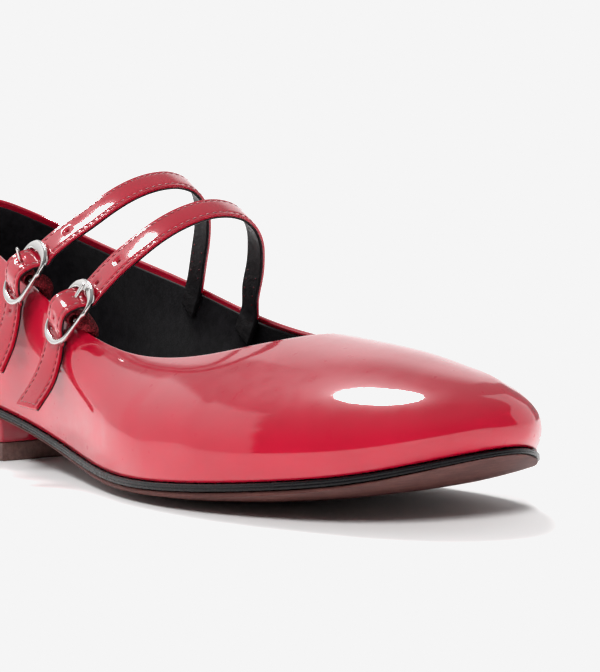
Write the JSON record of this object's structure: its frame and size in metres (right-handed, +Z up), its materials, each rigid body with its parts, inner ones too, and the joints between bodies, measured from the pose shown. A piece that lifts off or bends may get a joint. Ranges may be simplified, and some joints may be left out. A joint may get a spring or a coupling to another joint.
{
  "type": "mary jane shoe",
  "caption": "Right-foot mary jane shoe: a patent upper with a low covered heel and buckled straps over the instep.",
  "frame": {"origin": "middle of the shoe's outer box, on the floor", "axes": "+X from the heel to the toe, +Y to the medial side of this right shoe, +Z up from the floor"},
  "size_m": [0.2492, 0.086, 0.0875],
  "materials": {
    "patent_leather": "high gloss red patent outside, black suede-like lining inside",
    "edge_layer": "black edge ink, semi-gloss",
    "outsole_unit": "satin brown",
    "insole_cover": "matt black lining",
    "heel_cover": "high gloss red patent",
    "top_lift": "matt brown",
    "strap_leather": "high gloss red patent, black lining",
    "plated_metal": "polished silver",
    "elastic_cord": "ribbed dark red elastic"
  },
  "bodies": {
    "root": {"upper": "patent_leather", "midsole": "edge_layer", "outsole": "outsole_unit", "insole": "insole_cover", "heel_block": "heel_cover", "heel_top_lift": "top_lift", "strap_front": "strap_leather", "buckle_front": "plated_metal", "pin_front": "plated_metal", "elastic_front": "elastic_cord", "strap_rear": "strap_leather", "buckle_rear": "plated_metal", "pin_rear": "plated_metal", "elastic_rear": "elastic_cord"}
  },
  "joints": []
}
